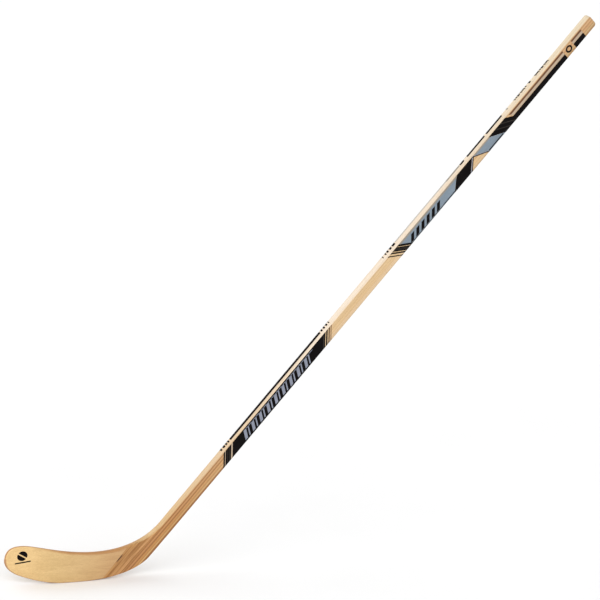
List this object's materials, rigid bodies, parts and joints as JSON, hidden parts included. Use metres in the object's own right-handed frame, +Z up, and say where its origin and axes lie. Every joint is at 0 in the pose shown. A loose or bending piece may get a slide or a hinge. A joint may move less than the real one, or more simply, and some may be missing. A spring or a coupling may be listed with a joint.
{
  "type": "ice hockey stick",
  "caption": "Laminated wooden ice hockey stick with a left-hand curved blade, rounded toe and heel, and a straight rectangular shaft.",
  "frame": {"origin": "middle of the flat of the sole, where the blade meets the ice", "axes": "+Z up; -X towards the toe, +X the way the shaft rises; +Y the forehand side, towards which the blade curves"},
  "size_m": [1.3478, 0.0621, 1.1117],
  "materials": {
    "pale_ply": "lacquered pale birch",
    "core_ply": "lacquered aspen",
    "brown_ply": "lacquered brown hardwood",
    "heel_ply": "lacquered brown hardwood, sanded smooth",
    "core_wood": "sanded ash under clear lacquer",
    "blade_veneer": "satin lacquer over pale ash veneer"
  },
  "bodies": {
    "root": {"shaft_back_ply": "brown_ply", "shaft_second_ply": "core_ply", "shaft_middle_ply": "pale_ply", "shaft_fourth_ply": "core_ply", "shaft_front_ply": "pale_ply", "heel_ply_1_forehand": "heel_ply", "heel_ply_1_backhand": "heel_ply", "heel_ply_2_forehand": "heel_ply", "heel_ply_2_backhand": "heel_ply", "heel_ply_3_forehand": "heel_ply", "heel_ply_3_backhand": "heel_ply", "heel_ply_4_forehand": "heel_ply", "heel_ply_4_backhand": "heel_ply", "blade_core": "core_wood", "blade_veneer_forehand": "blade_veneer", "blade_veneer_backhand": "blade_veneer"}
  },
  "joints": []
}
